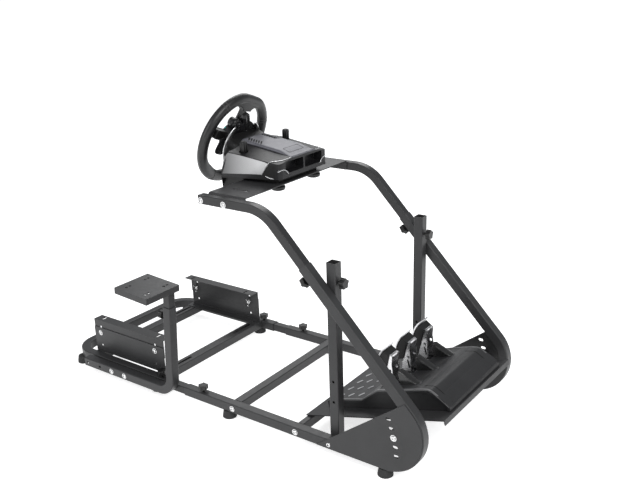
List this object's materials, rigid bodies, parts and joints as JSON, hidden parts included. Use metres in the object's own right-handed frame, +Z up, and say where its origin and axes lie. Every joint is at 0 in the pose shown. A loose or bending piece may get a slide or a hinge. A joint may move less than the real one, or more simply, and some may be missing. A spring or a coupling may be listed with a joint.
{
  "type": "sim racing cockpit",
  "caption": "Floor frame of bent square tubes carrying a steering wheel, pedals, seat brackets and a shifter tray, adjustable in length and height.",
  "frame": {"origin": "middle of the overall outline, on the floor", "axes": "+Z up, +Y to the front (towards the pedals), +X to the driver's right"},
  "size_m": [0.7, 1.4442, 0.9475],
  "materials": {
    "powder_coat": "satin black powder coat",
    "rubber": "matt black rubber",
    "knob_plastic": "moulded black",
    "pedal_plastic": "fine grained dark grey",
    "base_plastic": "satin dark grey",
    "bezel_plastic": "satin black",
    "rim_leather": "black stitched leather",
    "hub_plastic": "satin black",
    "brushed_metal": "brushed",
    "backing_plastic": "moulded black"
  },
  "bodies": {
    "frame": {"side_frame_left": "powder_coat", "side_frame_right": "powder_coat", "gusset_left": "powder_coat", "gusset_right": "powder_coat", "mid_cross_tube": "powder_coat", "front_cross_tube": "powder_coat", "plate_support_tube": "powder_coat", "pedal_plate": "powder_coat", "upright_left": "powder_coat", "upright_right": "powder_coat", "frame_feet": "rubber", "frame_knobs": "knob_plastic", "pedal_housing": "pedal_plastic"},
    "links": {"link_tube_left": "powder_coat", "link_tube_right": "powder_coat"},
    "rear_frame": {"rear_loop_tube": "powder_coat", "seat_bar_front": "powder_coat", "seat_bar_rear": "powder_coat", "bracket_lower_left": "powder_coat", "bracket_lower_right": "powder_coat", "bracket_upper_left": "powder_coat", "bracket_upper_right": "powder_coat", "shifter_stand": "powder_coat", "rear_feet": "rubber", "rear_knobs": "knob_plastic"},
    "shifter_mast": {"shifter_post": "powder_coat", "shifter_tray": "powder_coat"},
    "carriage": {"arm_left": "powder_coat", "arm_right": "powder_coat", "wheel_plate": "powder_coat", "wheel_base": "base_plastic", "base_bezel": "bezel_plastic", "base_clamps": "knob_plastic"},
    "wheel": {"wheel_rim": "rim_leather", "wheel_hub": "hub_plastic", "shift_paddles": "brushed_metal"},
    "clutch": {"pedal_arm_clutch": "brushed_metal", "pedal_face_clutch": "brushed_metal", "pedal_backing_clutch": "backing_plastic"},
    "brake": {"pedal_arm_brake": "brushed_metal", "pedal_face_brake": "brushed_metal", "pedal_backing_brake": "backing_plastic"},
    "throttle": {"pedal_arm_throttle": "brushed_metal", "pedal_face_throttle": "brushed_metal", "pedal_backing_throttle": "backing_plastic"}
  },
  "joints": [
    {"name": "base_front_slide", "type": "slide", "parent": "frame", "child": "links", "axis": [0, -1, 0], "range_m": [-0.03, 0.06]},
    {"name": "base_rear_slide", "type": "slide", "parent": "links", "child": "rear_frame", "axis": [0, -1, 0], "range_m": [-0.02, 0.07]},
    {"name": "shifter_height_slide", "type": "slide", "parent": "rear_frame", "child": "shifter_mast", "axis": [0, 0.0698, 0.9976], "range_m": [-0.06, 0.09]},
    {"name": "wheel_height_slide", "type": "slide", "parent": "frame", "child": "carriage", "axis": [0, -0.6929, 0.721], "range_m": [-0.12, 0.09]},
    {"name": "steering_turn", "type": "hinge", "parent": "carriage", "child": "wheel", "pos_m": [-0.078, -0.1491, 0.806], "axis": [0, -0.9272, 0.3746], "range_deg": [-290, 610]},
    {"name": "clutch_press", "type": "hinge", "parent": "frame", "child": "clutch", "pos_m": [-0.16, 0.50466, 0.17264], "axis": [-1, 0, 0], "range_deg": [0, 18], "stiffness_Nm_per_rad": 12, "springref_deg": -8.59},
    {"name": "brake_press", "type": "hinge", "parent": "frame", "child": "brake", "pos_m": [-0.059, 0.50466, 0.17264], "axis": [-1, 0, 0], "range_deg": [0, 18], "stiffness_Nm_per_rad": 20, "springref_deg": -8.59},
    {"name": "throttle_press", "type": "hinge", "parent": "frame", "child": "throttle", "pos_m": [0.042, 0.50466, 0.17264], "axis": [-1, 0, 0], "range_deg": [0, 18], "stiffness_Nm_per_rad": 8, "springref_deg": -11.46}
  ]
}
